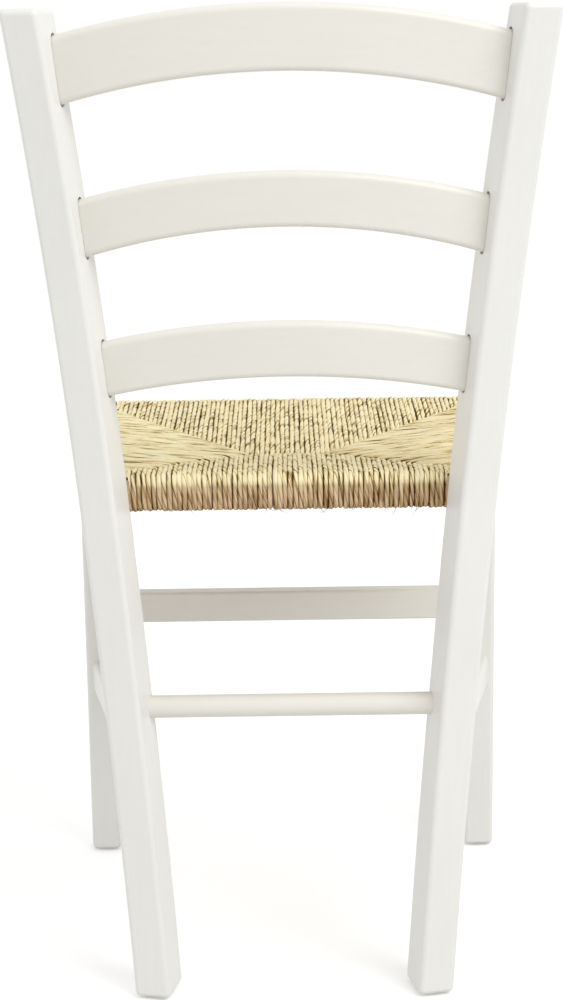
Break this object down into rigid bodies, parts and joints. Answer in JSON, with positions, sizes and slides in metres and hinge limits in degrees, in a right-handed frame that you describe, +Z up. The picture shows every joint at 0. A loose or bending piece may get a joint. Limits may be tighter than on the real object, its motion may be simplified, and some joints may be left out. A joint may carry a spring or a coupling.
{
  "type": "slat back chair",
  "caption": "White country ladder-back dining chair with splayed sabre back legs, arched slats, a twisted-rush seat on a hidden frame, and plain stretchers; for sitting at a table.",
  "frame": {"origin": "on the floor, under the middle of the chair's outline seen from above", "axes": "+Z up, -Y the way the sitter faces, +X the sitter's left"},
  "size_m": [0.442, 0.4666, 0.8617],
  "materials": {
    "white_lacquer": "satin off-white lacquer on beech",
    "seat_frame_wood": "bare sanded beech",
    "straw": "loose dry straw",
    "rush": "dry twisted rush cord, matt",
    "glide": "grey-brown moulded glide"
  },
  "bodies": {
    "root": {"rear_leg_left": "white_lacquer", "rear_leg_right": "white_lacquer", "front_leg_left": "white_lacquer", "front_leg_right": "white_lacquer", "top_slat": "white_lacquer", "middle_slat": "white_lacquer", "bottom_slat": "white_lacquer", "rear_stretcher": "white_lacquer", "front_stretcher": "white_lacquer", "side_stretcher_left": "white_lacquer", "side_stretcher_right": "white_lacquer", "seat_front_rail": "seat_frame_wood", "seat_rear_rail": "seat_frame_wood", "seat_side_rail_left": "seat_frame_wood", "seat_side_rail_right": "seat_frame_wood", "seat_dowels": "seat_frame_wood", "seat_stuffing": "straw", "rush_seat": "rush", "glide_rear_left": "glide", "glide_rear_right": "glide", "glide_front_left": "glide", "glide_front_right": "glide"}
  },
  "joints": []
}
